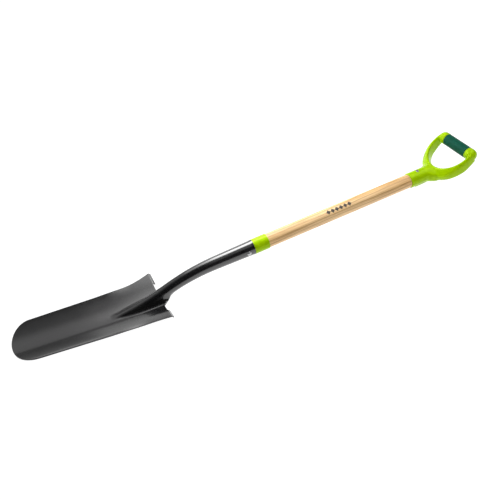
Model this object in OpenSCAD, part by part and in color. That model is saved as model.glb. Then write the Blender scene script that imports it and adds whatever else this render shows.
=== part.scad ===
// Narrow trenching spade: a pressed steel blade with a rolled open-back socket, a wooden
// shaft, a plastic collar, and a cranked plastic D handle with a soft grip sleeve.
//
// Each piece is drawn in the spade's own axes: +X runs up the shaft from the socket's mouth,
// +Z is the side of the blade's hollow face, and Y = 0 is the plane of symmetry.
// lay_down() then turns the spade onto its back on the ground plane Z = 0, where it rests on
// the heel of the blade and on the pad behind the handle's socket.

/* [Blade] */
// Length of the blade from its heel to its tip
blade_l = 352; // [320:1:400]
// Width of the blade where the rounded nose begins
nose_w = 133; // [120:1:150]
// Width that the straight sides would reach at the heel, without the flare
waist_w = 153; // [145:1:165]
// Width across the two treads at the heel
shoulder_w = 172; // [168:1:190]
// Length of the rounded nose
nose_l = 55; // [45:1:70]
// Radius of the trough that runs along the blade
trough_r = 176; // [150:1:240]
// Thickness of the sheet steel
steel_t = 2; // [1.6:0.1:2.4]
// Angle between the front of the blade and the shaft, in degrees
blade_lift = 8.1; // [6:0.1:10]

/* [Frog, neck and socket] */
// Length of the raised frog in the blade, from the heel to its point
frog_l = 121; // [115:1:140]
// Outer radius of the neck
neck_r = 15; // [14.5:0.25:16]
// Radius of the neck's bend, measured to its axis
bend_r = 420; // [400:5:460]
// Distance from the heel to the socket's mouth
socket_l = 255; // [245:1:265]
// Outer radius of the socket at its mouth
mouth_r = 19; // [19:0.25:20]

/* [Shaft and collar] */
// Diameter of the wooden shaft
shaft_d = 36; // [35:0.25:36]
// Length of bare wood between the collar and the handle
bare_l = 423; // [350:1:500]
// Length of the collar at the socket's mouth
collar_l = 39.5; // [25:0.5:50]
// Wall of the collar
collar_t = 1.3; // [1:0.1:1.6]

/* [Handle] */
// Length of the handle's socket, from its rim to the crank
hand_socket_l = 62; // [58:1:70]
// Outer radius of the handle's socket
hand_socket_r = 20; // [20:0.25:21]
// Angle by which the D leans forward from the shaft, in degrees
crank = 26; // [20:1:30]
// Distance from the crank to the axis of the grip
dee_l = 105; // [98:1:115]
// Width of the D between the middles of its two arms
dee_w = 125; // [122:1:130]
// Depth of an arm, across the plane of the D
arm_depth = 34; // [32:1:35]
// Thickness of an arm, in the plane of the D
arm_t = 10; // [8:0.5:11]
// Diameter of the soft grip sleeve
grip_d = 31; // [28:0.5:31]
// Length of the soft grip sleeve
grip_l = 82; // [76:1:86]

/* [Hidden] */
$fn = 96;

// Clearance between neighbouring pieces
gap = 0.15;

// ---- landmarks along the shaft's axis ----
heel_x = -socket_l;
tip_x = heel_x - blade_l;
nose_x = tip_x + nose_l;
frog_x = heel_x - frog_l;
// The neck's bend starts here, at the end of the straight part of the socket
bend_x = -105;
// The neck's bend hands over to the frog's crest here
crest_x = heel_x + 18;
rim_x = collar_l + bare_l;
crank_x = rim_x + hand_socket_l;

// ---- the blade's sheet ----
// Behind level_x the floor of the trough levels out towards the heel
level_l = 150;
level_x = heel_x - level_l;
heel_drop = 39.6;
heel_slope = 0.035;
lift = tan(blade_lift);

function fall(x) = let (s = max(0, x - level_x) / level_l)
    (lift + heel_slope) * level_l * s * s / 2 - lift * (x - level_x);
function floor_z(x) = fall(x) - fall(heel_x) - heel_drop;

function smooth(t) = let (c = min(1, max(0, t))) c * c * (3 - 2 * c);

// Half the blade's width, with the rounded nose and the flare at the shoulders
flare_l = 78;
function side_w(x) = nose_w / 2
    + (waist_w - nose_w) / 2 * (x - nose_x) / (heel_x - nose_x)
    + (shoulder_w - waist_w) / 2 * pow(max(0, x - heel_x + flare_l) / flare_l, 2.1);
function half_w(x) = x >= nose_x ? side_w(x)
    : nose_w / 2 * sqrt(1 - pow((nose_x - x) / nose_l, 2));

// Rise of the trough at a distance y from its middle, flattened towards the treads
flat_y = 50;
flat_rate = 0.0053;
function rise(x, y) = trough_r - sqrt(trough_r * trough_r - y * y)
    - flat_rate * smooth((x - heel_x + 120) / 70) * pow(max(0, y - flat_y), 2);

// ---- the neck's axis and the frog's crest, to the middle of the sheet ----
function outer_r(x) = max(neck_r, mouth_r + (mouth_r - neck_r) * x / 200);
function rib_r(x) = outer_r(x) - steel_t / 2;
function bend_drop(x) = x > bend_x ? 0 : bend_r - sqrt(bend_r * bend_r - pow(x - bend_x, 2));
bend_angle = asin((bend_x - crest_x) / bend_r);
crest_z = rib_r(crest_x) - bend_drop(crest_x);
// From there the crest is one arc, tangent to the neck, down to the frog's point
chord = [crest_x - frog_x, crest_z - floor_z(frog_x)];
crest_r = norm(chord) / (2 * sin(bend_angle - atan2(chord[1], chord[0])));
crest_c = [crest_x - crest_r * sin(bend_angle), crest_z + crest_r * cos(bend_angle)];
function crest_at(x) = x >= crest_x ? rib_r(x) - bend_drop(x)
    : x <= frog_x ? floor_z(x)
    : crest_c[1] - sqrt(crest_r * crest_r - pow(x - crest_c[0], 2));

// ---- cross-section of the frog, the neck and the socket ----
// An arc over the crest, a straight flank and a hollow foot. Behind the heel the foot is
// trimmed away and the flanks curl under, until they nearly meet along an open seam.
rib_steps = 14;
foot_r = 14;
flank_max = 68;
flank_min = 30;
seam_angle = 172;
trim_l = 24;
curl_l = 60;
degree = PI / 180;

function flank_drop(x) = (rib_r(x) + foot_r) * (1 - cos(flank_max));
function flank(x) = x > heel_x
    ? flank_max + (seam_angle - flank_max) * smooth((x - heel_x) / curl_l)
    : let (h = crest_at(x) - floor_z(x))
      min(flank_max, max(flank_min, acos(max(-1, 1 - h / (rib_r(x) + foot_r)))));
function flank_l(x) = let (x1 = min(x, heel_x))
    max(0, crest_at(x1) - floor_z(x1) - flank_drop(x1)) / sin(flank_max)
    * (1 - smooth((x - heel_x) / curl_l));
function foot_sweep(x) = flank(x) * (1 - min(1, max(0, x - heel_x) / trim_l));

// Point k of the section at x, as [distance from the middle, drop below the crest].
// The points are evenly spaced along the section.
function rib(x, k) = let (
        r = rib_r(x),
        a = flank(x),
        l = flank_l(x),
        over = r * a * degree,
        run = (over + l + foot_r * foot_sweep(x) * degree) * k / rib_steps,
        t = min(run, over) / r / degree,
        u = a - max(0, run - over - l) / foot_r / degree,
        straight = min(l, max(0, run - over)))
    r * [sin(t), 1 - cos(t)] + straight * [cos(a), sin(a)]
    + foot_r * [sin(a) - sin(u), cos(u) - cos(a)];

// ---- the sheet as a grid: rows from the tip to the mouth, columns from edge to edge ----
side_steps = 5;
half_cols = rib_steps + side_steps;
rows = concat(
    [for (a = [4, 14, 26, 38, 51, 64, 77]) nose_x - nose_l * cos(a)],
    [for (i = [0 : 3]) nose_x + (frog_x - nose_x) * i / 4],
    [for (i = [0 : 9]) frog_x + frog_l * i / 9],
    [for (i = [1 : 6]) heel_x + curl_l * i / 6],
    [for (i = [1 : 4]) heel_x + curl_l + (bend_x - heel_x - curl_l) * i / 4],
    [bend_x / 2, 0]);
last_row = len(rows) - 1;
heel_row = search(heel_x, rows)[0];

// The treads: the outer columns turn towards the back of the blade behind the heel
tread_cols = 3;
tread_r = 5;
tread_turn = [0, 30, 60, 85];
tread_rows = len(tread_turn) - 1;

// Whether the grid has a point at row i, column j, and a panel from it to the next ones
function has(i, j) = i >= 0 && i <= last_row && abs(j) <= half_cols
    && (i <= heel_row || abs(j) <= rib_steps
        || (i <= heel_row + tread_rows && abs(j) >= half_cols - tread_cols));
function panel(i, j) = has(i, j) && has(i + 1, j) && has(i, j + 1) && has(i + 1, j + 1);

function on_sheet(x, j) = let (
        k = min(abs(j), rib_steps),
        q = rib(x, k),
        foot = rib(x, rib_steps),
        wide = half_w(max(x, nose_x)),
        out = (abs(j) - k) / side_steps,
        shrink = x < nose_x ? half_w(x) / half_w(nose_x) : 1,
        y = (q[0] + (wide - foot[0]) * out) * shrink,
        z = x > heel_x ? crest_at(x) - q[1]
            : floor_z(x) + (crest_at(x) - floor_z(x)) * (1 - q[1] / foot[1]),
        fade = 1 - smooth((x - heel_x) / trim_l))
    [x, sign(j) * y, z + rise(x, y) * fade];
function sheet(i, j) = i <= heel_row || abs(j) <= rib_steps ? on_sheet(rows[i], j)
    : let (t = tread_turn[i - heel_row])
      on_sheet(heel_x, j) + tread_r * [sin(t), 0, cos(t) - 1];

function step(i, j, di, dj) = has(i + di, j + dj) ? sheet(i + di, j + dj) : sheet(i, j);
function face_normal(i, j) = let (
        n = cross(step(i, j, 1, 0) - step(i, j, -1, 0), step(i, j, 0, 1) - step(i, j, 0, -1)))
    n / norm(n);

cols = 2 * half_cols + 1;
function spot(i, j, back) = 2 * (i * cols + j + half_cols) + back;
function two(a, b, c, d) = [[a, b, c], [a, c, d]];

module sheet_steel() {
    points = [for (i = [0 : last_row], j = [-half_cols : half_cols], s = [1, -1])
        has(i, j) ? sheet(i, j) + s * steel_t / 2 * face_normal(i, j) : [0, 0, 0]];
    panels = [for (i = [0 : last_row - 1], j = [-half_cols : half_cols - 1])
        if (panel(i, j)) each concat(
            two(spot(i, j, 0), spot(i, j + 1, 0), spot(i + 1, j + 1, 0), spot(i + 1, j, 0)),
            two(spot(i, j, 1), spot(i + 1, j, 1), spot(i + 1, j + 1, 1), spot(i, j + 1, 1)))];
    edges = [for (i = [0 : last_row - 1], j = [-half_cols : half_cols - 1])
        if (panel(i, j)) each concat(
            panel(i, j - 1) ? [] : two(spot(i, j, 0), spot(i + 1, j, 0),
                                       spot(i + 1, j, 1), spot(i, j, 1)),
            panel(i, j + 1) ? [] : two(spot(i + 1, j + 1, 0), spot(i, j + 1, 0),
                                       spot(i, j + 1, 1), spot(i + 1, j + 1, 1)),
            panel(i - 1, j) ? [] : two(spot(i, j + 1, 0), spot(i, j, 0),
                                       spot(i, j, 1), spot(i, j + 1, 1)),
            panel(i + 1, j) ? [] : two(spot(i + 1, j, 0), spot(i + 1, j + 1, 0),
                                       spot(i + 1, j + 1, 1), spot(i + 1, j, 1)))];
    polyhedron(points, concat(panels, edges));
}

// ---- the pose on the ground ----
// The heel's lowest points and the pad behind the handle's socket touch the ground.
pad_l = 40;
pad_w = 22;
pad_x = rim_x + 34;
pad_drop = hand_socket_r + 0.6;
heel_low = min([for (j = [0 : half_cols])
    (sheet(heel_row, j) - steel_t / 2 * face_normal(heel_row, j))[2]]);
tilt = atan((-pad_drop - heel_low) / (pad_x - heel_x));

function laid_x(x, z) = x * cos(tilt) + z * sin(tilt);
function laid_z(x, z) = z * cos(tilt) - x * sin(tilt);
ground = min([for (i = [heel_row - 3 : heel_row], j = [0 : half_cols])
    let (p = sheet(i, j) - steel_t / 2 * face_normal(i, j)) laid_z(p[0], p[2])]);
cheek_r = 16;
grip_x = crank_x + dee_l * cos(crank);
grip_z = dee_l * sin(crank);
middle_x = (laid_x(tip_x, floor_z(tip_x)) + laid_x(grip_x, grip_z) + cheek_r) / 2;

module lay_down() {
    translate([-middle_x, 0, -ground]) rotate([0, tilt, 0]) children();
}

// A solid turned about the shaft's axis: r_outer and r_inner at two stations
module tube(x0, x1, r_outer, r_inner) {
    translate([x0, 0, 0]) rotate([0, 90, 0]) difference() {
        cylinder(h = x1 - x0, r = r_outer);
        translate([0, 0, -1]) cylinder(h = x1 - x0 + 2, r = r_inner);
    }
}

// ---- blade ----
rivet_x = -17.6;
rivet_r = 2.5;
rivet_head = [5.6, 2.8];
rivet_tail = [4.6, 2];

module blade() {
    color([0.22, 0.22, 0.23]) lay_down() difference() {
        sheet_steel();
        translate([rivet_x, 0, 0]) rotate([90, 0, 0])
            cylinder(h = 4 * mouth_r, r = rivet_r + gap, center = true);
    }
}

// ---- shaft ----
// The socket's flat panels stand inside its true radius by this factor
panel_in = cos(seam_angle / rib_steps / 2);
hand_tenon_r = 16.5;
hand_tenon_l = 46;
tenon_fit = 0.25;

function tenon_r(x) = (outer_r(x) - steel_t) * panel_in - tenon_fit;

module shaft() {
    color([0.87, 0.72, 0.52]) lay_down() difference() {
        rotate([0, 90, 0]) union() {
            translate([0, 0, bend_x]) cylinder(h = -bend_x + gap, r1 = tenon_r(bend_x), r2 = tenon_r(0));
            translate([0, 0, gap]) cylinder(h = rim_x - 2 * gap, r = shaft_d / 2);
            translate([0, 0, rim_x - gap]) cylinder(h = hand_tenon_l + gap, r = hand_tenon_r);
        }
        translate([rivet_x, 0, 0]) rotate([90, 0, 0])
            cylinder(h = 4 * mouth_r, r = rivet_r + gap, center = true);
        translate([hand_rivet_x, 0, -hand_rivet_in]) cylinder(h = 60, r = hand_rivet_r + gap);
    }
}

// ---- collar ----
module collar_ring() {
    r_in = shaft_d / 2 + gap / 2;
    bevel = 0.5;
    color([0.55, 0.78, 0.02]) lay_down() rotate([0, 90, 0]) rotate_extrude()
        polygon([[r_in, gap], [r_in + collar_t - bevel, gap], [r_in + collar_t, gap + bevel],
                 [r_in + collar_t, collar_l - bevel], [r_in + collar_t - bevel, collar_l],
                 [r_in, collar_l]]);
}

// ---- socket rivet ----
// Its domed head and its hammered tail are shaped to the round of the socket.
module rivet_end(r, h) {
    dome_r = (r * r + h * h) / (2 * h);
    difference() {
        intersection() {
            translate([0, 0, h - dome_r]) sphere(r = dome_r);
            translate([0, 0, -h]) cylinder(h = 3 * h, r = r);
        }
        translate([0, 0, -outer_r(rivet_x) - gap]) rotate([0, 90, 0])
            cylinder(h = 4 * r, r = outer_r(rivet_x), center = true);
    }
}

module socket_rivet() {
    seat = outer_r(rivet_x) + gap;
    color([0.8, 0.8, 0.82]) lay_down() translate([rivet_x, 0, 0]) union() {
        rotate([90, 0, 0]) cylinder(h = 2 * seat, r = rivet_r, center = true);
        rotate([90, 0, 0]) translate([0, 0, seat]) rivet_end(rivet_head[0], rivet_head[1]);
        rotate([-90, 0, 0]) translate([0, 0, seat]) rivet_end(rivet_tail[0], rivet_tail[1]);
    }
}

// ---- handle ----
// The arms are one U round the hand opening: its inner face is half an ellipse, its thickness
// grows towards the crotch, and its ends run straight on to the grip's cheeks. A bead runs
// along the front of the inner face, and from the bead the front slopes away to the outside.
arm_back = 22;
open_l = 59;
open_w = (dee_w - arm_t) / 2;
crotch_t = 27;
taper = 2;
arm_round = 3.4;
arm_sides = 20;
u_step = 7.5;
end_in = 1;
run_on = [-12, -2];
arm_front = 12.5;
arm_back_z = arm_front - arm_depth;
end_lift = 5.5;
bead_w = 5.5;
front_slope = 0.7;

function arm_width(t) = arm_t + (crotch_t - arm_t) * pow(abs(cos(t)), taper);
function bow_normal(t) = let (n = [-cos(t) / open_l, sin(t) / open_w]) n / norm(n);
function bow(t) = [-arm_back - open_l * cos(t), open_w * sin(t)]
    + bow_normal(t) * arm_width(t) / 2;
function arm_end(s, k) = [[run_on[k], s * (dee_w / 2 - k * end_in)], [0, s], arm_t];
stations = concat([arm_end(-1, 1), arm_end(-1, 0)],
    [for (t = [-90 : u_step : 90]) [bow(t), bow_normal(t), arm_width(t)]],
    [arm_end(1, 0), arm_end(1, 1)]);

function rounded(v) = sign(v) * pow(abs(v), 2 / arm_round);
// The back of an arm rises a little towards the cheek
function back_at(x) = arm_back_z + end_lift * smooth((x + 40) / 35);
// Point of an arm's section at angle a: [distance from the arm's middle, height]
function section(w, back, a) = let (
        u = w / 2 * rounded(cos(a)),
        v = rounded(sin(a)),
        slope = front_slope * max(0, u + w / 2 - bead_w))
    [u, (arm_front + back) / 2 + (arm_front - back) / 2 * v - slope * max(0, v)];

module arms() {
    n = len(stations);
    points = [for (s = stations, k = [0 : arm_sides - 1])
        let (q = section(s[2], back_at(s[0][0]), 360 * k / arm_sides))
        [s[0][0] + s[1][0] * q[0], s[0][1] + s[1][1] * q[0], q[1]]];
    skin = [for (m = [0 : n - 2], k = [0 : arm_sides - 1])
        let (a = m * arm_sides + k, b = m * arm_sides + (k + 1) % arm_sides)
        each two(a, a + arm_sides, b + arm_sides, b)];
    ends = [[for (k = [0 : arm_sides - 1]) k],
            [for (k = [arm_sides - 1 : -1 : 0]) (n - 1) * arm_sides + k]];
    polyhedron(points, concat(skin, ends));
}

// The solid ends of the grip, with domed outer faces
module cheeks() {
    inner = grip_l / 2 + gap;
    square_l = 10;
    dome = dee_w / 2 + arm_t / 2 - inner - square_l;
    profile = concat([[0, inner], [cheek_r - 1, inner], [cheek_r, inner + 1.5]],
                     [for (a = [0 : 10 : 80])
                         [cheek_r * cos(a), inner + square_l + dome * sin(a)]],
                     [[0, inner + square_l + dome]]);
    for (s = [90, -90]) rotate([s, 0, 0]) rotate_extrude() polygon(profile);
}

module in_dee_plane() {
    translate([grip_x, 0, grip_z]) rotate([0, -crank, 0]) children();
}

// The web between the round socket and the foot of the U: wide and low at its two sides,
// and as high as the bead in the middle
web_back = 11;
web_l = 4;
web_foot = [dee_l - 9, 19, 9.5];
web_foot_top = 3;
web_crown = [dee_l - 12, 7, 7];

module throat() {
    hull() {
        translate([crank_x - web_back, 0, 0]) rotate([0, 90, 0])
            cylinder(h = web_l, r = hand_socket_r, $fn = 48);
        in_dee_plane() for (s = [-1, 1]) {
            translate([-web_foot[0], s * web_foot[1], arm_back_z + 1])
                cylinder(h = web_foot_top - arm_back_z - 1, r = web_foot[2], $fn = 48);
            translate([-web_crown[0], s * web_crown[1], 0])
                cylinder(h = arm_front - 1, r = web_crown[2], $fn = 48);
        }
    }
}

// A flat pad at the back of the socket, level with the ground
pad_t = 6;
pad_corner = 5;

module pad() {
    x = laid_x(pad_x, -pad_drop) - middle_x;
    linear_extrude(pad_t) hull() for (i = [-1, 1], j = [-1, 1])
        translate([x + i * (pad_l / 2 - pad_corner), j * (pad_w / 2 - pad_corner)])
        circle(r = pad_corner);
}

core_r = 9.5;

module handle_frame() {
    color([0.55, 0.78, 0.02]) difference() {
        union() {
            pad();
            lay_down() {
                translate([rim_x, 0, 0]) rotate([0, 90, 0])
                    cylinder(h = hand_socket_l - web_back + web_l, r = hand_socket_r);
                throat();
                in_dee_plane() {
                    arms();
                    cheeks();
                    rotate([90, 0, 0]) cylinder(h = grip_l + 2, r = core_r, center = true);
                }
            }
        }
        lay_down() {
            translate([rim_x - 1, 0, 0]) rotate([0, 90, 0])
                cylinder(h = hand_tenon_l + 1.5, r = hand_tenon_r + gap);
            translate([hand_rivet_x, 0, 0]) cylinder(h = 60, r = hand_rivet_r + gap);
        }
    }
}

module grip_sleeve() {
    round = 1.2;
    r_in = core_r + gap;
    color([0.1, 0.36, 0.29]) lay_down() in_dee_plane() rotate([90, 0, 0])
        translate([0, 0, -grip_l / 2]) rotate_extrude()
        polygon([[r_in, 0], [grip_d / 2 - round, 0], [grip_d / 2, round],
                 [grip_d / 2, grip_l - round], [grip_d / 2 - round, grip_l], [r_in, grip_l]]);
}

// ---- handle rivet ----
hand_rivet_x = rim_x + 28;
hand_rivet_r = 2.2;
hand_rivet_in = 10;

module handle_rivet() {
    head_r = 4.4;
    head_h = 1.4;
    color([0.8, 0.8, 0.82]) lay_down() translate([hand_rivet_x, 0, 0]) difference() {
        union() {
            translate([0, 0, -hand_rivet_in + gap])
                cylinder(h = hand_socket_r + hand_rivet_in, r = hand_rivet_r);
            difference() {
                translate([0, 0, hand_socket_r - 1]) cylinder(h = head_h + 1, r = head_r);
                rotate([0, 90, 0]) cylinder(h = 40, r = hand_socket_r + gap / 2, center = true);
            }
        }
        translate([0, 0, hand_socket_r - 4]) cylinder(h = 10, r = 1.5);
    }
}

blade();
shaft();
collar_ring();
socket_rivet();
handle_frame();
grip_sleeve();
handle_rivet();
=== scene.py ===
"""A trenching spade lying on its back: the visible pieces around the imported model.

Pieces are modelled in the spade's own axes, in millimetres: +X runs up the shaft from the
socket's mouth, +Z is the side of the blade's hollow face, Y = 0 is the plane of symmetry.
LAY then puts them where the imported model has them.
"""

import math

import bmesh
import bpy
import numpy as np
from mathutils import Matrix, Vector


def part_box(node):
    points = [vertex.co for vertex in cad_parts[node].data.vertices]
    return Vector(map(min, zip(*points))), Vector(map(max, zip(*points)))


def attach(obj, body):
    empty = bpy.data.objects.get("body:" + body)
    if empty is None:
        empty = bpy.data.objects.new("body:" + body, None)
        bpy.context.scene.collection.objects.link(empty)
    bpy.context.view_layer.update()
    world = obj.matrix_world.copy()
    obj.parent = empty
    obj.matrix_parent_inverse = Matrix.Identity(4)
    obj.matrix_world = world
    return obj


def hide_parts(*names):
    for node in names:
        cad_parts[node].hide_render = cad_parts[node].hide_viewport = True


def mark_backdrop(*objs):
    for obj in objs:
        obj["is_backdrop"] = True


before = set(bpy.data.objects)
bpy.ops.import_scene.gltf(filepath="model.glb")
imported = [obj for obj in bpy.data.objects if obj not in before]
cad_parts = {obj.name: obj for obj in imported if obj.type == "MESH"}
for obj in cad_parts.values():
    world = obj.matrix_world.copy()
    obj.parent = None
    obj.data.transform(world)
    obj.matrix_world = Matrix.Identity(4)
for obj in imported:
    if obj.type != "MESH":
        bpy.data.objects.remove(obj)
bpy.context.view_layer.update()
MM = 0.001
PI = math.pi

# ---------------------------------------------------------------- the spade's dimensions, mm
BLADE_L, NOSE_W, WAIST_W, SHOULDER_W, NOSE_L = 352, 133, 153, 172, 55
TROUGH_R, STEEL_T, LIFT = 176, 2.0, math.tan(math.radians(8.1))
FROG_L, NECK_R, BEND_R, SOCKET_L, MOUTH_R = 121, 15, 420, 255, 19
SHAFT_R, BARE_L, COLLAR_L, COLLAR_T = 18, 423, 39.5, 1.3
HAND_SOCKET_L, HAND_SOCKET_R, CRANK = 62, 20, math.radians(26)
DEE_L, DEE_W, ARM_DEPTH, ARM_T = 105, 125, 34, 10
GRIP_R, GRIP_L, CHEEK_R, CORE_R = 15.5, 82, 16, 9.5
GAP = 0.15

HEEL_X = -SOCKET_L
TIP_X = HEEL_X - BLADE_L
NOSE_X = TIP_X + NOSE_L
FROG_X = HEEL_X - FROG_L
BEND_X, CREST_X = -105, HEEL_X + 18
RIM_X = COLLAR_L + BARE_L
CRANK_X = RIM_X + HAND_SOCKET_L
GRIP = Vector((CRANK_X + DEE_L * math.cos(CRANK), 0, DEE_L * math.sin(CRANK)))
COLLAR = Vector(((GAP + COLLAR_L) / 2, 0, 0))
SOCKET_RIVET_X, RIVET_R = -17.6, 2.5
HAND_RIVET_X, HAND_RIVET_R = RIM_X + 28, 2.2
TENON_R, TENON_L = 16.45, 45.4
ALONG_X, ALONG_Y = Matrix.Rotation(PI / 2, 4, "Y"), Matrix.Rotation(PI / 2, 4, "X")


def middle(node):
    """The middle of a CAD node's box."""
    low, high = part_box(node)
    return (low + high) / 2


def lay_down():
    """The spade's own axes, in metres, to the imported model's frame."""
    ours, packed = GRIP - COLLAR, middle("grip_sleeve") - middle("collar_ring")
    turn = math.atan2(ours.z, ours.x) - math.atan2(packed.z, packed.x)
    return (Matrix.Translation(middle("collar_ring")) @ Matrix.Rotation(turn, 4, "Y")
            @ Matrix.Translation(-COLLAR * MM))


LAY = lay_down()
DEE_PLANE = Matrix.Translation(GRIP) @ Matrix.Rotation(-CRANK, 4, "Y")


# ---------------------------------------------------------------- mesh helpers
def smooth(t):
    """A soft step from 0 to 1."""
    c = min(1.0, max(0.0, t))
    return c * c * (3 - 2 * c)


def add_grid(bm, rows, close_rows=False, close_cols=False):
    """Quads between rows of points. None leaves a hole in the grid."""
    verts = [[bm.verts.new(p) if p is not None else None for p in row] for row in rows]
    n, m = len(rows), len(rows[0])
    for i in range(n if close_rows else n - 1):
        for j in range(m if close_cols else m - 1):
            a, b = verts[i], verts[(i + 1) % n]
            quad = [a[j], b[j], b[(j + 1) % m], a[(j + 1) % m]]
            if all(quad):
                bm.faces.new(quad)
    return verts


def add_tube(bm, rings, matrix=Matrix.Identity(4)):
    """A closed solid through rings of points, capped at both ends."""
    rows = [[matrix @ Vector(p) for p in ring] for ring in rings]
    verts = add_grid(bm, rows, close_cols=True)
    for ring, rest in ((verts[0], rows[0]), (verts[-1], rows[-1])):
        centre = bm.verts.new(sum((Vector(p) for p in rest), Vector()) / len(rest))
        for j in range(len(ring)):
            bm.faces.new((ring[j], ring[(j + 1) % len(ring)], centre))


def add_lathe(bm, profile, matrix=Matrix.Identity(4), steps=96, closed=False):
    """Turns (radius, height) points about Z. A closed profile makes a ring."""
    rows = [[matrix @ Vector((r * math.cos(a), r * math.sin(a), h))
             for a in (2 * PI * k / steps for k in range(steps))]
            for r, h in profile if r > 1e-6 or closed]
    verts = add_grid(bm, rows, close_rows=closed, close_cols=True)
    if closed:
        return
    for ring, (_, h) in ((verts[0], profile[0]), (verts[-1], profile[-1])):
        centre = bm.verts.new(matrix @ Vector((0, 0, h)))
        for j in range(steps):
            bm.faces.new((ring[j], ring[(j + 1) % steps], centre))


def arc(cx, cy, r, start, stop, n=6):
    """Points on an arc, in degrees, as (radius, height) pairs of a lathe's profile."""
    angles = (math.radians(start + (stop - start) * k / n) for k in range(n + 1))
    return [(cx + r * math.cos(a), cy + r * math.sin(a)) for a in angles]


def circle(centre, r, matrix, n=48):
    """Points on a circle in the matrix's own XY plane."""
    x, y, z = centre
    return [matrix @ Vector((x + r * math.cos(2 * PI * k / n), y + r * math.sin(2 * PI * k / n), z))
            for k in range(n)]


def add_hull(bm, points):
    verts = [bm.verts.new(p) for p in points]
    out = bmesh.ops.convex_hull(bm, input=verts)
    unused = [g for g in out["geom_interior"] if isinstance(g, bmesh.types.BMVert)]
    bmesh.ops.delete(bm, geom=unused, context="VERTS")


def finish_mesh(bm, name, angle=40):
    bmesh.ops.recalc_face_normals(bm, faces=bm.faces)
    bmesh.ops.scale(bm, vec=(MM, MM, MM), verts=bm.verts)
    mesh = bpy.data.meshes.new(name)
    bm.to_mesh(mesh)
    bm.free()
    obj = bpy.data.objects.new(name, mesh)
    bpy.context.scene.collection.objects.link(obj)
    obj.matrix_world = LAY
    shade(obj, angle)
    return obj


def shade(obj, angle=40):
    mesh = obj.data
    mesh.polygons.foreach_set("use_smooth", [True] * len(mesh.polygons))
    mesh.set_sharp_from_angle(angle=math.radians(angle))


def apply_modifiers(obj):
    """Replaces the mesh by what its modifiers make of it."""
    bpy.context.view_layer.update()
    done = obj.evaluated_get(bpy.context.evaluated_depsgraph_get())
    mesh = bpy.data.meshes.new_from_object(done)
    old = obj.data
    obj.modifiers.clear()
    obj.data = mesh
    bpy.data.meshes.remove(old)
    mesh.name = obj.name


def discard(obj):
    mesh = obj.data
    bpy.data.objects.remove(obj)
    bpy.data.meshes.remove(mesh)


def cut_out(obj, bm):
    """Cuts a closed solid out of a piece."""
    tool = finish_mesh(bm, "tool")
    cut = obj.modifiers.new("cut", "BOOLEAN")
    cut.operation = "DIFFERENCE"
    cut.solver = "EXACT"
    cut.object = tool
    apply_modifiers(obj)
    discard(tool)


def merge(obj, other):
    """Adds another object's mesh to this one. Both share one placement."""
    bm = bmesh.new()
    bm.from_mesh(obj.data)
    bm.from_mesh(other.data)
    bm.to_mesh(obj.data)
    bm.free()
    discard(other)


def place(obj, material, slot, *nodes):
    """The piece rides on the one body, and stands for its CAD nodes."""
    obj.data.transform(obj.matrix_world)
    obj.matrix_world = Matrix.Identity(4)
    obj.data.materials.clear()
    obj.data.materials.append(material)
    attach(obj, "root")
    if nodes:
        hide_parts(*nodes)
    return obj


# ---------------------------------------------------------------- materials
class Nodes:
    """A material's node tree, built by short calls."""

    def __init__(self, name):
        self.material = bpy.data.materials.new(name)
        self.material.use_nodes = True
        self.tree = self.material.node_tree
        self.shader = self.tree.nodes["Principled BSDF"]

    def add(self, kind, _inputs=None, **settings):
        node = self.tree.nodes.new("ShaderNode" + kind)
        for key, value in settings.items():
            setattr(node, key, value)
        for key, value in (_inputs or {}).items():
            self.set(node, key, value)
        return node

    def set(self, node, key, value):
        if isinstance(value, bpy.types.NodeSocket):
            self.tree.links.new(value, node.inputs[key])
        else:
            node.inputs[key].default_value = value

    def coords(self, scale=(1, 1, 1), offset=(0, 0, 0)):
        """The spade's own coordinates, in millimetres times scale."""
        back = LAY.inverted()
        raw = self.add("TexCoord").outputs["Object"]
        own = self.add("Mapping", {"Vector": raw, "Location": back.translation / MM,
                                   "Rotation": back.to_euler(), "Scale": (1 / MM,) * 3})
        return self.add("Mapping", {"Vector": own.outputs[0], "Location": offset,
                                    "Scale": scale}).outputs[0]

    def noise(self, vector, scale=1.0, detail=4.0, rough=0.5, distortion=0.0):
        return self.add("TexNoise", {"Vector": vector, "Scale": scale, "Detail": detail,
                                     "Roughness": rough, "Distortion": distortion}).outputs[0]

    def math(self, operation, a, b=0.0, c=0.0):
        node = self.add("Math", {0: a, 1: b}, operation=operation)
        if operation in ("MULTIPLY_ADD", "SMOOTH_MIN", "SMOOTH_MAX"):
            self.set(node, 2, c)
        return node.outputs[0]

    def remap(self, value, low, high, to_low=0.0, to_high=1.0, smoothly=True):
        node = self.add("MapRange", {0: value, 1: low, 2: high, 3: to_low, 4: to_high})
        node.interpolation_type = "SMOOTHSTEP" if smoothly else "LINEAR"
        return node.outputs[0]

    def blend(self, factor, a, b):
        node = self.add("Mix", data_type="RGBA")
        for key, value in ((0, factor), (6, a), (7, b)):
            if not isinstance(value, (bpy.types.NodeSocket, float)):
                value = (*value, 1.0)
            self.set(node, key, value)
        return node.outputs[2]

    def bump(self, height, distance, strength=1.0, normal=None):
        node = self.add("Bump", {"Height": height, "Distance": distance * MM, "Strength": strength})
        if normal is not None:
            self.set(node, "Normal", normal)
        return node.outputs[0]

    def finish(self, **values):
        for key, value in values.items():
            self.set(self.shader, key.replace("_", " "), value)
        return self.material


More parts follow.
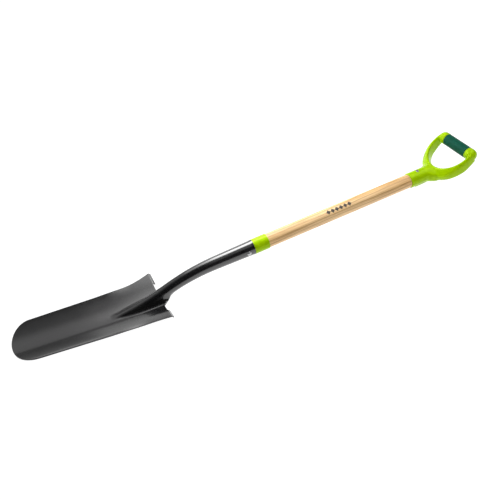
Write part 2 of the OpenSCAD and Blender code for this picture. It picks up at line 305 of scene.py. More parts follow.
def black_paint():
    """Stoved black paint on pressed steel: soft orange peel, faint clouds, rubbed edges."""
    n = Nodes("black_paint")
    co = n.coords()
    peel = n.noise(co, 0.9, 2.0)
    cloud = n.noise(co, 0.03, 5.0, 0.6)
    wear = n.add("NewGeometry").outputs["Pointiness"]
    patches = n.remap(n.noise(co, 0.12, 6.0, 0.7), 0.45, 0.7)
    rub = n.math("MULTIPLY", n.remap(wear, 0.53, 0.62), patches)
    colour = n.blend(n.remap(cloud, 0.35, 0.7), (0.009, 0.009, 0.010), (0.013, 0.013, 0.0135))
    colour = n.blend(n.math("MULTIPLY", rub, 0.25), colour, (0.07, 0.07, 0.072))
    rough = n.math("ADD", n.remap(cloud, 0.3, 0.75, 0.2, 0.25), n.math("MULTIPLY", rub, 0.12))
    return n.finish(Base_Color=colour, Roughness=rough, IOR=1.6, Coat_Weight=1.0, Coat_Roughness=0.1,
                    Normal=n.bump(peel, 0.02, 0.35))


def lime_plastic():
    """Glossy moulded polypropylene with flow marks, shallow sinks and a fine mould texture."""
    n = Nodes("lime_plastic")
    co = n.coords()
    flow = n.noise(co, 0.035, 4.0, 0.55, 1.2)
    skin = n.noise(co, 1.6, 3.0)
    sink = n.noise(co, 0.06, 2.0)
    colour = n.blend(n.remap(flow, 0.3, 0.7), (0.34, 0.575, 0.0002), (0.39, 0.64, 0.0004))
    return n.finish(Base_Color=colour, Roughness=n.remap(flow, 0.25, 0.75, 0.2, 0.28),
                    Normal=n.bump(skin, 0.012, 0.4, n.bump(sink, 0.15, 0.35)),
                    IOR=1.33, Specular_IOR_Level=0.7, Specular_Tint=(0.8, 1.0, 0.1, 1.0))


def grip_rubber():
    """Soft dark green rubber with a fine grain."""
    n = Nodes("grip_rubber")
    co = n.coords()
    grain = n.add("TexVoronoi", {"Vector": co, "Scale": 1.1}).outputs[0]
    mottle = n.noise(co, 0.16, 5.0, 0.65)
    colour = n.blend(n.remap(mottle, 0.35, 0.68), (0.001, 0.070, 0.040), (0.003, 0.092, 0.056))
    return n.finish(Base_Color=colour, Roughness=n.remap(mottle, 0.3, 0.7, 0.5, 0.62),
                    Normal=n.bump(grain, 0.12, 0.5), Sheen_Weight=0.03, Sheen_Roughness=0.5,
                    IOR=1.4, Specular_IOR_Level=0.15)


def bright_steel():
    """Zinc-plated rivet steel with fine scratches and small dents."""
    n = Nodes("bright_steel")
    co = n.coords()
    scratch = n.noise(co, 3.0, 3.0, 0.6, 0.8)
    dents = n.noise(co, 0.5, 2.0)
    colour = n.blend(n.remap(scratch, 0.3, 0.7), (0.38, 0.38, 0.39), (0.55, 0.55, 0.56))
    return n.finish(Base_Color=colour, Metallic=1.0, Roughness=n.remap(scratch, 0.3, 0.7, 0.22, 0.36),
                    Normal=n.bump(dents, 0.1, 0.4))


def late_wood(n, x, y, z):
    """The dark part of each growth ring, from 0 to 1. The rings are cylinders about an axis well
    to one side of the shaft and slightly askew, so they show as long bands."""
    drift = n.noise(n.coords((0.0035, 0.05, 0.05)), 1.0, 3.0, 0.5)
    ry = n.math("ADD", n.math("MULTIPLY_ADD", x, 0.011, 31.0), y)
    rz = n.math("ADD", n.math("MULTIPLY_ADD", x, -0.016, 14.0), z)
    radius = n.math("SQRT", n.math("ADD", n.math("POWER", ry, 2.0), n.math("POWER", rz, 2.0)))
    rings = n.math("FRACT", n.math("MULTIPLY_ADD", drift, 2.2, n.math("MULTIPLY", radius, 0.13)))
    return n.math("MULTIPLY", n.remap(rings, 0.45, 0.93), n.remap(rings, 1.0, 0.96))


def lozenge_row(n, x, y, z):
    """A printed row of small lozenges along the shaft, from 0 to 1."""
    start, length, half, angle, count = ORNAMENT
    back = n.math("MULTIPLY", y, -1.0)
    turned = n.math("SUBTRACT", n.math("ARCTAN2", back, z), angle)
    around = n.math("ABSOLUTE", n.math("MULTIPLY", turned, SHAFT_R))
    along = n.math("DIVIDE", n.math("SUBTRACT", x, start), length)
    cell = n.math("FRACT", n.math("MULTIPLY", along, float(count)))
    middle_off = n.math("ABSOLUTE", n.math("SUBTRACT", cell, 0.5))
    reach = n.math("ADD", n.math("MULTIPLY", middle_off, 2.0), n.math("DIVIDE", around, half))
    inside = n.math("MULTIPLY", n.math("GREATER_THAN", along, 0.0), n.math("LESS_THAN", along, 1.0))
    front = n.math("GREATER_THAN", n.math("ADD", z, back), 0.0)
    return n.math("MULTIPLY", n.math("MULTIPLY", n.remap(reach, 0.95, 1.05, 1.0, 0.0), inside), front)


def lacquered_wood():
    """Pale turned ash under clear lacquer: growth rings, fibres, pores and brown streaks."""
    n = Nodes("lacquered_wood")
    x, y, z = n.add("SeparateXYZ", {0: n.coords()}).outputs
    late = late_wood(n, x, y, z)
    fibre = n.noise(n.coords((0.012, 0.9, 0.9)), 1.0, 6.0, 0.7)
    pore = n.remap(n.noise(n.coords((0.03, 1.7, 1.7), (7, 3, 1)), 1.0, 2.0), 0.62, 0.7)
    tone = n.noise(n.coords((0.004, 0.03, 0.03), (2, 5, 9)), 1.0, 2.0)
    streak = n.remap(n.noise(n.coords((0.006, 0.4, 0.4), (4, 8, 2)), 1.0, 3.0), 0.5, 0.64)
    late_pore = n.math("MULTIPLY", pore, late)
    colour = n.blend(n.remap(tone, 0.35, 0.65), (0.80, 0.50, 0.21), (0.92, 0.63, 0.31))
    for layer, strength, paint in ((late, 0.7, (0.44, 0.20, 0.055)),
                                   (n.remap(fibre, 0.45, 0.75), 0.35, (0.80, 0.58, 0.32)),
                                   (late_pore, 0.6, (0.21, 0.11, 0.04)),
                                   (streak, 0.6, (0.50, 0.26, 0.09)),
                                   (lozenge_row(n, x, y, z), 0.95, (0.02, 0.016, 0.013))):
        colour = n.blend(n.math("MULTIPLY", layer, strength), colour, paint)
    height = n.math("MULTIPLY_ADD", late, -0.4, n.math("MULTIPLY", fibre, 0.5))
    return n.finish(Base_Color=colour, Roughness=n.remap(fibre, 0.3, 0.7, 0.42, 0.55),
                    Normal=n.bump(height, 0.06, 0.5), Coat_Weight=0.2, Coat_Roughness=0.22)


# The row's start and length, its half-height, its angle round the shaft and its count
ORNAMENT = (207, 74, 6.4, math.radians(29), 6)
PAINT, LIME, RUBBER, STEEL = black_paint(), lime_plastic(), grip_rubber(), bright_steel()
WOOD = lacquered_wood()


# ---------------------------------------------------------------- blade: one sheet of steel
# Behind LEVEL_X the trough's floor levels out towards the heel
LEVEL_L, HEEL_DROP, HEEL_SLOPE = 150, 39.6, 0.035
LEVEL_X = HEEL_X - LEVEL_L
# The shoulders flare out over this length, and the trough flattens beside them
FLARE_L, FLAT_FROM, FLAT_L, FLAT_Y, FLAT_RATE = 75, HEEL_X - 120, 70, 50, 0.0053


def fall(x):
    s = max(0, x - LEVEL_X) / LEVEL_L
    return (LIFT + HEEL_SLOPE) * LEVEL_L * s * s / 2 - LIFT * (x - LEVEL_X)


def floor_z(x):
    """Height of the trough's floor."""
    return fall(x) - fall(HEEL_X) - HEEL_DROP


def half_w(x):
    """Half the blade's width, with the rounded nose and the flare at the shoulders."""
    if x < NOSE_X:
        return NOSE_W / 2 * math.sqrt(max(0, 1 - ((NOSE_X - x) / NOSE_L) ** 2))
    straight = NOSE_W / 2 + (WAIST_W - NOSE_W) / 2 * (x - NOSE_X) / (HEEL_X - NOSE_X)
    flare = max(0, x - HEEL_X + FLARE_L) / FLARE_L
    return straight + (SHOULDER_W - WAIST_W) / 2 * flare ** 2.1


def rise(x, y):
    """Rise of the trough at a distance y from its middle, flattened towards the treads."""
    flat = FLAT_RATE * smooth((x - FLAT_FROM) / FLAT_L) * max(0, y - FLAT_Y) ** 2
    return TROUGH_R - math.sqrt(TROUGH_R ** 2 - y * y) - flat


def outer_r(x):
    """Outer radius of neck and socket, with a small lip at the mouth."""
    lip = 0.5 * smooth((x + 7) / 7)
    return max(NECK_R, MOUTH_R + (MOUTH_R - NECK_R) * x / 200) + lip


def rib_r(x):
    return outer_r(x) - STEEL_T / 2


def bend_drop(x):
    """How far the bend lowers the neck's axis."""
    return 0 if x > BEND_X else BEND_R - math.sqrt(BEND_R ** 2 - (x - BEND_X) ** 2)


BEND_ANGLE = math.asin((BEND_X - CREST_X) / BEND_R)
CREST_Z = rib_r(CREST_X) - bend_drop(CREST_X)
CHORD = (CREST_X - FROG_X, CREST_Z - floor_z(FROG_X))
CREST_R = math.hypot(*CHORD) / (2 * math.sin(BEND_ANGLE - math.atan2(CHORD[1], CHORD[0])))
CREST_C = (CREST_X - CREST_R * math.sin(BEND_ANGLE), CREST_Z + CREST_R * math.cos(BEND_ANGLE))


def crest_at(x):
    """Height of the crest over frog, neck and socket."""
    if x >= CREST_X:
        return rib_r(x) - bend_drop(x)
    if x <= FROG_X:
        return floor_z(x)
    return CREST_C[1] - math.sqrt(CREST_R ** 2 - (x - CREST_C[0]) ** 2)


# The rib's hollow foot, the length over which it is trimmed behind the heel, and the length
# over which the flanks curl under until they nearly meet at the seam
FOOT_R, TRIM_L, CURL_L = 14, 24, 60
FLANK_MAX, FLANK_MIN, SEAM_ANGLE = (math.radians(a) for a in (68, 30, 172))


def flank(x):
    """Angle, in radians, through which the rib's section turns from its crest to its flank."""
    if x > HEEL_X:
        return FLANK_MAX + (SEAM_ANGLE - FLANK_MAX) * smooth((x - HEEL_X) / CURL_L)
    h = crest_at(x) - floor_z(x)
    return min(FLANK_MAX, max(FLANK_MIN, math.acos(max(-1, 1 - h / (rib_r(x) + FOOT_R)))))


def flank_l(x):
    """Length of the flank's straight part."""
    x1 = min(x, HEEL_X)
    drop = (rib_r(x1) + FOOT_R) * (1 - math.cos(FLANK_MAX))
    return (max(0, crest_at(x1) - floor_z(x1) - drop) / math.sin(FLANK_MAX)
            * (1 - smooth((x - HEEL_X) / CURL_L)))


def rib(x, t):
    """Section of frog, neck and socket at x: t runs from 0 on the crest to 1 at its foot."""
    r, a, l = rib_r(x), flank(x), flank_l(x)
    sweep = a * (1 - min(1, max(0, x - HEEL_X) / TRIM_L))
    over = r * a
    run = (over + l + FOOT_R * sweep) * t
    b = min(run, over) / r
    u = a - max(0, run - over - l) / FOOT_R
    straight = min(l, max(0, run - over))
    return (r * math.sin(b) + straight * math.cos(a) + FOOT_R * (math.sin(a) - math.sin(u)),
            r * (1 - math.cos(b)) + straight * math.sin(a) + FOOT_R * (math.cos(u) - math.cos(a)))


RIB_STEPS, SIDE_STEPS = 30, 20
HALF_COLS = RIB_STEPS + SIDE_STEPS
TREAD_FROM = RIB_STEPS + 8      # the tread starts at 2/5 of the side, as in the CAD
# The tread's turn, its lean in degrees and the length of its flat
TREAD_R, TREAD_LEAN, TREAD_FLAT = 1.2, 47, 6.0


def tread_lip():
    """Offsets from the heel: a short turn, then a flat that leans down and away."""
    turn = [math.radians(TREAD_LEAN * k / 5) for k in range(1, 6)]
    offsets = [TREAD_R * Vector((math.sin(a), 0, math.cos(a) - 1)) for a in turn]
    run = Vector((math.cos(turn[-1]), 0, -math.sin(turn[-1])))
    return offsets + [offsets[-1] + run * TREAD_FLAT * k / 3 for k in (1, 2, 3)]


def on_sheet(x, j):
    """Point of the sheet's middle surface at x, in column j from the middle."""
    k = min(abs(j), RIB_STEPS)
    across, drop = rib(x, k / RIB_STEPS)
    foot = rib(x, 1)
    out = (abs(j) - k) / SIDE_STEPS
    shrink = half_w(x) / half_w(NOSE_X) if x < NOSE_X else 1
    y = (across + (half_w(max(x, NOSE_X)) - foot[0]) * out) * shrink
    if x > HEEL_X:
        z = crest_at(x) - drop
    else:
        z = floor_z(x) + (crest_at(x) - floor_z(x)) * (1 - drop / foot[1])
    z += rise(x, min(y, TROUGH_R)) * (1 - smooth((x - HEEL_X) / TRIM_L))
    return Vector((x, math.copysign(y, j), z))


def blade_rows():
    """Stations along the sheet, from the tip to the mouth, closer together where it bends."""
    nose = [NOSE_X - NOSE_L * math.cos(math.radians(a)) for a in np.linspace(4, 86, 22)]
    spans = ((NOSE_X, FROG_X, 26), (FROG_X, HEEL_X, 40), (HEEL_X, HEEL_X + CURL_L, 24),
             (HEEL_X + CURL_L, BEND_X, 14), (BEND_X, -8, 10))
    body = [a + (b - a) * i / n for a, b, n in spans for i in range(n)]
    return nose + body + [-8, -6.5, -5, -3.5, -2, -1, 0]


def make_blade():
    bm = bmesh.new()
    columns = range(-HALF_COLS, HALF_COLS + 1)
    rows = []
    for x in blade_rows():
        past = x > HEEL_X + 1e-6
        rows.append([on_sheet(x, j) if not past or abs(j) <= RIB_STEPS else None for j in columns])
    add_grid(bm, rows)
    for side in (-1, 1):
        js = [side * j for j in range(TREAD_FROM, HALF_COLS + 1)]
        heel = [on_sheet(HEEL_X, j) for j in js]
        tread = [heel] + [[p + offset for p in heel] for offset in tread_lip()]
        add_grid(bm, tread)
    bmesh.ops.remove_doubles(bm, verts=bm.verts, dist=0.01)
    obj = finish_mesh(bm, "blade_sheet", 180)
    skin = obj.modifiers.new("thickness", "SOLIDIFY")
    skin.thickness = STEEL_T * MM
    skin.offset = 0
    skin.use_even_offset = True
    edge = obj.modifiers.new("edges", "BEVEL")
    edge.width = 0.55 * MM
    edge.segments = 3
    edge.limit_method = "ANGLE"
    edge.angle_limit = math.radians(55)
    apply_modifiers(obj)
    hole = bmesh.new()
    add_lathe(hole, [(RIVET_R + GAP, -2 * MOUTH_R), (RIVET_R + GAP, 2 * MOUTH_R)],
              Matrix.Translation((SOCKET_RIVET_X, 0, 0)) @ ALONG_Y, 32)
    cut_out(obj, hole)
    shade(obj, 35)
    return place(obj, PAINT, "black_steel", "blade")


make_blade()


# ---------------------------------------------------------------- shaft and collar
def make_shaft():
    """Turned wood with a tapered end in the socket and a stepped end in the handle."""
    bm = bmesh.new()
    tenon_end, tenon_mouth = NECK_R - 1.5, MOUTH_R - 2.5
    profile = [(tenon_end - 0.8, BEND_X), (tenon_end, BEND_X + 1)]
    profile += [(tenon_end + (tenon_mouth - tenon_end) * t, BEND_X + 1 - (BEND_X + 1) * t)
                for t in np.linspace(0.1, 1, 10)]
    profile += [(SHAFT_R - 0.4, GAP), (SHAFT_R, GAP + 0.5)]
    profile += [(SHAFT_R, x) for x in np.linspace(6, RIM_X - 1.2, 60)]
    shoulder = RIM_X - 2 * GAP
    profile += [(SHAFT_R - 0.5, shoulder), (TENON_R, shoulder), (TENON_R, RIM_X + TENON_L)]
    add_lathe(bm, profile, ALONG_X, 128)
    obj = finish_mesh(bm, "wooden_shaft", 30)
    return place(obj, WOOD, "shaft_wood", "shaft")


def make_collar():
    """A thin plastic ring with rolled edges."""
    bm = bmesh.new()
    r_in, r = SHAFT_R + GAP / 2, SHAFT_R + GAP / 2 + COLLAR_T
    profile = [(r_in, GAP)] + arc(r - 0.5, GAP + 0.5, 0.5, -90, 0, 4)
    profile += [(r - 0.08, x) for x in np.linspace(2, COLLAR_L - 2, 12)]
    profile += arc(r - 0.6, COLLAR_L - 0.6, 0.6, 0, 90, 5) + [(r_in, COLLAR_L)]
    add_lathe(bm, profile, ALONG_X, 128, closed=True)
    obj = finish_mesh(bm, "shaft_collar", 35)
    return place(obj, LIME, "lime_plastic", "collar_ring")


make_shaft()
make_collar()


# ---------------------------------------------------------------- rivets
def make_socket_rivet():
    """A shank through the socket, with a domed head and a flatter hammered tail."""
    bm = bmesh.new()
    seat = MOUTH_R - 0.35 + GAP
    for side, r, h in ((1, 5.6, 2.7), (-1, 4.6, 1.9)):
        turn = Matrix.Translation((SOCKET_RIVET_X, 0, 0)) @ Matrix.Rotation(side * PI / 2, 4, "X")
        dome = (r * r + h * h) / (2 * h)
        top = math.degrees(math.asin(r / dome))
        profile = [(RIVET_R, -1), (RIVET_R, seat - 1.2), (r - 0.3, seat - 0.9), (r, seat - 0.6)]
        profile += arc(0, seat + h - dome, dome, 90 - top, 90, 9)
        add_lathe(bm, profile, turn, 48)
    obj = finish_mesh(bm, "socket_rivet_round", 50)
    return place(obj, STEEL, "bright_steel", "socket_rivet")


def make_hand_rivet():
    """A tubular rivet: a flat rolled ring round an open bore."""
    bm = bmesh.new()
    top = HAND_SOCKET_R
    bore_r, shank_end = 1.5, -9.8
    profile = [(0.01, top - 4.2), (bore_r, top - 4), (bore_r, top - 3.9), (bore_r, top + 0.6)]
    profile += arc(2.2, top + 0.6, 0.7, 180, 90, 4) + arc(3.4, top + 0.35, 0.95, 90, 0, 6)
    profile += [(4.35, top - 0.5), (HAND_RIVET_R, top - 0.9), (HAND_RIVET_R, shank_end),
                (0.01, shank_end)]
    add_lathe(bm, profile, Matrix.Translation((HAND_RIVET_X, 0, 0)), 48)
    obj = finish_mesh(bm, "handle_rivet_ring", 40)
    return place(obj, STEEL, "bright_steel", "handle_rivet")


make_socket_rivet()
make_hand_rivet()


# ---------------------------------------------------------------- D handle
ARM_BACK, OPEN_L, OPEN_W, CROTCH_T, TAPER = 22, 59, (DEE_W - ARM_T) / 2, 27, 2
ARM_FRONT, BEAD_W, FRONT_SLOPE, ARM_ROUND = 12.5, 5.5, 0.75, 3.4
ARM_BASE, END_LIFT = ARM_FRONT - ARM_DEPTH, 5.5
# The web between socket and arms, its feet and its crown as (distance from the grip, y, radius)
WEB_BACK, WEB_L, WEB_FOOT_TOP = 11, 4, 3
WEB_FOOT, WEB_CROWN = (DEE_L - 9, 19, 9.5), (DEE_L - 12, 7, 7)
# The pad that the handle rests on: middle, half length and half width to its corners' centres
PAD_X, PAD_Z, PAD_HALF_L, PAD_HALF_W, PAD_CORNER = RIM_X + 34, -(HAND_SOCKET_R + 0.55), 17, 8, 3
# Turns of smoothing over the whole moulding, and in all at the crotch
SOFT_TURNS, CROTCH_TURNS = 8, 34


def arm_stations():
    """(middle, outward normal, thickness) along the U, in the plane of the D."""
    found = [((x, inset - DEE_W / 2), (0, -1), ARM_T) for x, inset in ((-2, 1), (-7, 0.4), (-12, 0))]
    for deg in np.linspace(-90, 90, 49):
        t = math.radians(deg)
        nx, ny = -math.cos(t) / OPEN_L, math.sin(t) / OPEN_W
        size = math.hypot(nx, ny)
        nx, ny = nx / size, ny / size
        w = ARM_T + (CROTCH_T - ARM_T) * abs(math.cos(t)) ** TAPER
        found.append(((-ARM_BACK - OPEN_L * math.cos(t) + nx * w / 2,
                       OPEN_W * math.sin(t) + ny * w / 2), (nx, ny), w))
    return found + [((x, -y), (nx, -ny), w) for (x, y), (nx, ny), w in reversed(found[:3])]


def arm_section(w, base, a):
    """Point of an arm's section: a bead along the inner edge, and a front that slopes away."""
    c, t = math.cos(a), math.sin(a)
    u = w / 2 * math.copysign(abs(c) ** (2 / ARM_ROUND), c)
    v = math.copysign(abs(t) ** (2 / ARM_ROUND), t)
    slope = FRONT_SLOPE * max(0, u + w / 2 - BEAD_W)
    return u, (ARM_FRONT + base) / 2 + (ARM_FRONT - base) / 2 * v - slope * max(0, v)


def add_arms(bm):
    rings = []
    for (x, y), (nx, ny), w in arm_stations():
        base = ARM_BASE + END_LIFT * smooth((x + 40) / 35)
        section = [arm_section(w, base, 2 * PI * k / 48) for k in range(48)]
        rings.append([(x + nx * u, y + ny * u, v) for u, v in section])
    add_tube(bm, rings, DEE_PLANE)


def add_web(bm):
    """The throat between the round socket and the two arms."""
    across = Matrix.Translation((CRANK_X - WEB_BACK, 0, 0)) @ ALONG_X
    points = circle((0, 0, 0), HAND_SOCKET_R, across) + circle((0, 0, WEB_L), HAND_SOCKET_R, across)
    for side in (-1, 1):
        for (back, out, r), z in ((WEB_FOOT, ARM_BASE + 1), (WEB_FOOT, WEB_FOOT_TOP),
                                  (WEB_CROWN, ARM_FRONT - 1)):
            points += circle((-back, side * out, z), r, DEE_PLANE, 32)
    add_hull(bm, points)


def add_pad(bm):
    """A flat pad with round corners at the back of the socket."""
    points = []
    for i in (-1, 1):
        for j in (-1, 1):
            for z in (PAD_Z, -10):
                centre = (PAD_X + i * PAD_HALF_L, j * PAD_HALF_W, z)
                points += circle(centre, PAD_CORNER, Matrix.Identity(4), 16)
    add_hull(bm, points)


def make_handle():
    """Socket, crotch, arms and cheeks, melted into one moulding with soft fillets."""
    bm = bmesh.new()
    add_arms(bm)
    inner = GRIP_L / 2 + GAP
    square = inner + 10
    dome = DEE_W / 2 + ARM_T / 2 - square
    for side in (1, -1):
        turn = DEE_PLANE @ Matrix.Rotation(side * PI / 2, 4, "X")
        profile = [(CHEEK_R - 1, inner), (CHEEK_R, inner + 1.5)]
        profile += [(CHEEK_R * math.cos(math.radians(a)), square + dome * math.sin(math.radians(a)))
                    for a in range(0, 90, 8)]
        add_lathe(bm, profile + [(0, square + dome)], turn, 64)
    socket = [(HAND_SOCKET_R - 0.8, RIM_X), (HAND_SOCKET_R, RIM_X + 0.8),
              (HAND_SOCKET_R, CRANK_X - WEB_BACK + WEB_L)]
    add_lathe(bm, socket, ALONG_X, 96)
    add_web(bm)
    add_pad(bm)
    obj = finish_mesh(bm, "handle_moulding")
    melt = obj.modifiers.new("melt", "REMESH")
    melt.mode = "VOXEL"
    melt.voxel_size = 1.0 * MM
    apply_modifiers(obj)
    soften(obj)
    bore = bmesh.new()
    bore_r, bore_end = TENON_R + 0.2, RIM_X + TENON_L + 1.1
    add_lathe(bore, [(bore_r, RIM_X - 5), (bore_r, bore_end)], ALONG_X, 96)
    cut_out(obj, bore)
    hole = bmesh.new()
    hole_r = HAND_RIVET_R + GAP
    add_lathe(hole, [(hole_r, 10), (hole_r, 40)], Matrix.Translation((HAND_RIVET_X, 0, 0)), 32)
    cut_out(obj, hole)
    bar = bmesh.new()
    add_lathe(bar, [(CORE_R, -GRIP_L / 2 - 1), (CORE_R, GRIP_L / 2 + 1)], DEE_PLANE @ ALONG_Y, 64)
    core = finish_mesh(bar, "core")
    merge(obj, core)
    shade(obj, 42)
    return place(obj, LIME, "lime_plastic", "handle_frame")


def soften(obj):
    """Relaxes the remeshed moulding: much at the crotch and the corners, little at the
    socket's rim and at the faces that meet the grip."""
    mesh = obj.data
    co = np.zeros(len(mesh.vertices) * 3)
    mesh.vertices.foreach_get("co", co)
    co = co.reshape(-1, 3)
    pairs = np.zeros(len(mesh.edges) * 2, int)
    mesh.edges.foreach_get("vertices", pairs)
    a, b = pairs.reshape(-1, 2).T
    count = np.bincount(np.concatenate([a, b]), minlength=len(co))[:, None]
    own = co / MM
    into = np.array(DEE_PLANE.inverted())
    dee = own @ into[:3, :3].T + into[:3, 3]
    rim = 1 / (1 + np.exp((own[:, 0] - RIM_X - 6) / 1.5))
    face = np.exp(-((np.abs(dee[:, 1]) - GRIP_L / 2) / 2.0) ** 2) * (np.abs(dee[:, 0]) < 18)
    crotch = 1 / (1 + np.exp(-(own[:, 0] - CRANK_X + 14) / 3)) / (1 + np.exp((dee[:, 0] + 90) / 3))
    pull = np.clip(0.5 - 0.42 * rim - 0.42 * face, 0.02, 0.5)[:, None]
    for turn in range(CROTCH_TURNS):
        total = np.zeros_like(co)
        for axis in range(3):
            total[:, axis] = np.bincount(a, co[b, axis], len(co)) + np.bincount(b, co[a, axis], len(co))
        weight = pull if turn < SOFT_TURNS else pull * crotch[:, None]
        co = co + weight * (total / count - co)
    mesh.vertices.foreach_set("co", co.ravel())
    mesh.update()


def make_grip():
    """A soft sleeve: slightly barrelled, with rounded lips at its ends."""
    bm = bmesh.new()
    r_in, half = CORE_R + GAP, GRIP_L / 2
    profile = [(r_in, -half)] + arc(GRIP_R - 1.3, -half + 1.2, 1.2, -90, 0, 5)
    profile += [(GRIP_R - 0.1 + 0.1 * math.cos(PI * h / (2 * half)), h)
                for h in np.linspace(-half + 2, half - 2, 40)]
    profile += arc(GRIP_R - 1.3, half - 1.2, 1.2, 0, 90, 5) + [(r_in, half)]
    add_lathe(bm, profile, DEE_PLANE @ ALONG_Y, 128, closed=True)
    obj = finish_mesh(bm, "soft_grip", 40)
    return place(obj, RUBBER, "grip_rubber", "grip_sleeve")


make_handle()
make_grip()


# ---------------------------------------------------------------- floor, light and camera
def paper(name, glow):
    """White studio paper, faintly cloudy, that glows so that it stays white."""
    n = Nodes(name)
    grain = n.noise(n.coords(), 0.004, 3.0)
    colour = n.blend(n.remap(grain, 0.3, 0.7), (0.19, 0.19, 0.19), (0.21, 0.21, 0.21))
    return n.finish(Base_Color=colour, Roughness=0.9, Emission_Color=(1, 1, 1, 1),
                    Emission_Strength=glow)


def make_floor():
    bm = bmesh.new()
    bmesh.ops.create_grid(bm, x_segments=8, y_segments=8, size=9000)
    obj = finish_mesh(bm, "studio_floor")
    obj.matrix_world = Matrix.Translation((0, 0, -0.0004))
    obj.data.materials.append(paper("floor_paper", 1.0))
    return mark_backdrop(obj)


def make_backdrop():
    """A white paper wall all round, which only the camera sees: it closes the room's horizon."""
    bm = bmesh.new()
    radius, height, steps = 8800, 12000, 96
    rings = [circle((0, 0, z), radius, Matrix.Identity(4), steps) for z in (-1, height)]
    add_grid(bm, rings, close_cols=True)
    obj = finish_mesh(bm, "studio_wall")
    obj.matrix_world = Matrix.Identity(4)
    obj.data.materials.append(paper("wall_paper", 0.98))
    obj.visible_diffuse = obj.visible_glossy = obj.visible_transmission = obj.visible_shadow = False
    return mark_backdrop(obj)


def ramp_between(tree, source, points):
    """A smooth curve through (position, value) points, each value from 0 to 1."""
    ramp = tree.nodes.new("ShaderNodeValToRGB")
    ramp.color_ramp.interpolation = "EASE"
    for _ in points[2:]:
        ramp.color_ramp.elements.new(0.5)
    for element, (position, value) in zip(ramp.color_ramp.elements, points):
        element.position = position
        element.color = (value, value, value, 1)
    tree.links.new(source, ramp.inputs[0])
    return ramp.outputs[0]


def make_softbox(name, centre, size, lean, radiance, along, across):
    """A softbox facing down, leaned by an angle about X. Its cloth glows unevenly: along and
    across are curves of brightness over its length and its width."""
    data = bpy.data.lights.new(name, "AREA")
    data.shape = "RECTANGLE"
    data.size, data.size_y = size
    data.energy = radiance * PI * size[0] * size[1]
    data.use_nodes = True
    tree = data.node_tree
    glow = tree.nodes["Emission"]
    where = tree.nodes.new("ShaderNodeSeparateXYZ")
    tree.links.new(tree.nodes.new("ShaderNodeNewGeometry").outputs["Parametric"], where.inputs[0])
    product = tree.nodes.new("ShaderNodeMath")
    product.operation = "MULTIPLY"
    tree.links.new(ramp_between(tree, where.outputs[0], along), product.inputs[0])
    tree.links.new(ramp_between(tree, where.outputs[1], across), product.inputs[1])
    tree.links.new(product.outputs[0], glow.inputs["Strength"])
    obj = bpy.data.objects.new(name, data)
    bpy.context.scene.collection.objects.link(obj)
    obj.location = centre
    obj.rotation_euler.x = math.radians(lean)
    obj.visible_camera = False
    return obj


def make_world():
    """A studio room: a bright horizon, a dim far wall and a nearly black near side."""
    world = bpy.data.worlds.new("studio_room")
    bpy.context.scene.world = world
    world.use_nodes = True
    tree = world.node_tree
    back = tree.nodes["Background"]
    where = tree.nodes.new("ShaderNodeTexCoord")
    parts = tree.nodes.new("ShaderNodeSeparateXYZ")
    tree.links.new(where.outputs["Generated"], parts.inputs[0])
    horizon = ramp_between(tree, parts.outputs[2], [(0.0, 0.7), (0.12, 0.0)])
    high = ramp_between(tree, parts.outputs[2], [(0.05, 0.3), (0.6, 0.12)])
    far = ramp_between(tree, parts.outputs[1], [(0.0, 0.12), (0.25, 1.0)])
    both, room = tree.nodes.new("ShaderNodeMath"), tree.nodes.new("ShaderNodeMath")
    both.operation, room.operation = "ADD", "MULTIPLY"
    for socket, value in zip((*both.inputs[:2], *room.inputs[:2]), (horizon, high, both.outputs[0], far)):
        tree.links.new(value, socket)
    tree.links.new(room.outputs[0], back.inputs[0])
    back.inputs[1].default_value = 1.0


def make_camera():
    """The camera stands over the near side of the blade, and leans a little."""
    at = Vector((-0.39895, -1.1599, 1.0992))
    look = Vector((-0.02419, -0.00377, 0.03))
    roll = math.radians(11.927)
    forward = (look - at).normalized()
    right = forward.cross(Vector((0, 0, 1))).normalized()
    up = right.cross(forward)
    x = right * math.cos(roll) - up * math.sin(roll)
    y = right * math.sin(roll) + up * math.cos(roll)
    data = bpy.data.cameras.new("camera")
    data.sensor_width = 36
    data.lens = 47.21
    data.clip_end = 50
    obj = bpy.data.objects.new("camera", data)
    bpy.context.scene.collection.objects.link(obj)
    obj.matrix_world = Matrix((x, y, -forward)).transposed().to_4x4()
    obj.matrix_world.translation = at
    bpy.context.scene.camera = obj


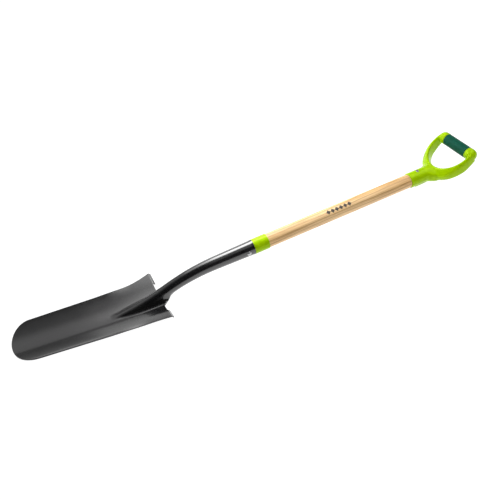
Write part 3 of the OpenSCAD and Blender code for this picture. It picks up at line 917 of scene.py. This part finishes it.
bpy.context.scene.view_settings.view_transform = "Standard"
make_floor()
make_backdrop()
make_world()
# Over the shaft's far side: the long highlight on the socket and the collar
make_softbox("key_softbox", (0.08, 0.24, 0.45), (0.5, 0.46), 0, 9.5,
             [(0, 0.2), (0.15, 0.4), (0.35, 1.0), (0.7, 1.0), (1, 0)],
             [(0, 0.0), (0.25, 1.0), (0.7, 1.0), (1, 0.2)])
# Beside it: the highlight runs on down the neck
make_softbox("neck_softbox", (-0.23, 0.28, 0.45), (0.12, 0.38), 0, 2.0,
             [(0, 0), (0.4, 0.8), (1, 1.0)], [(0, 0.6), (0.5, 1.0), (1, 0.9)])
# The highlights on the handle
make_softbox("handle_softbox", (0.43, 0.33, 0.45), (0.1, 0.3), 0, 8.0,
             [(0, 0), (0.3, 1.0), (0.7, 1.0), (1, 0)], [(0, 0), (0.3, 1.0), (0.7, 1.0), (1, 0)])
# A wide, weak one for the blade
make_softbox("wash_softbox", (-0.3, 1.0, 1.3), (2.0, 2.2), 0, 0.95,
             [(0, 0.5), (0.5, 0.6), (0.75, 1.0), (1, 1.0)], [(0, 0.1), (0.3, 0.35), (0.5, 1.0), (1, 0.75)])
# The crest of the frog and the root of the neck
make_softbox("crest_softbox", (-1.42, 1.5, 1.2), (0.96, 1.4), 0, 2.2,
             [(0, 1.0), (0.6, 1.0), (0.85, 0.7), (1, 0)], [(0, 0.6), (0.3, 1.0), (1, 0.8)])
# Upright behind the spade: the near side of the blade, the socket and the shaft
make_softbox("back_softbox", (0.2, 1.5, 0.44), (1.0, 0.64), -90, 1.7,
             [(0, 0.0), (0.3, 1.0), (0.8, 1.0), (1, 0.0)], [(0, 0.6), (1, 1.0)])
# On the near side: the front of the handle and the shaft
make_softbox("side_softbox", (0.6, -0.15, 1.0), (1.4, 1.1), 0, 3.0,
             [(0, 0.0), (0.15, 0.15), (0.35, 0.3), (0.5, 1.0), (1, 1.0)], [(0, 0.6), (0.4, 1.0), (1, 0.8)])
make_camera()
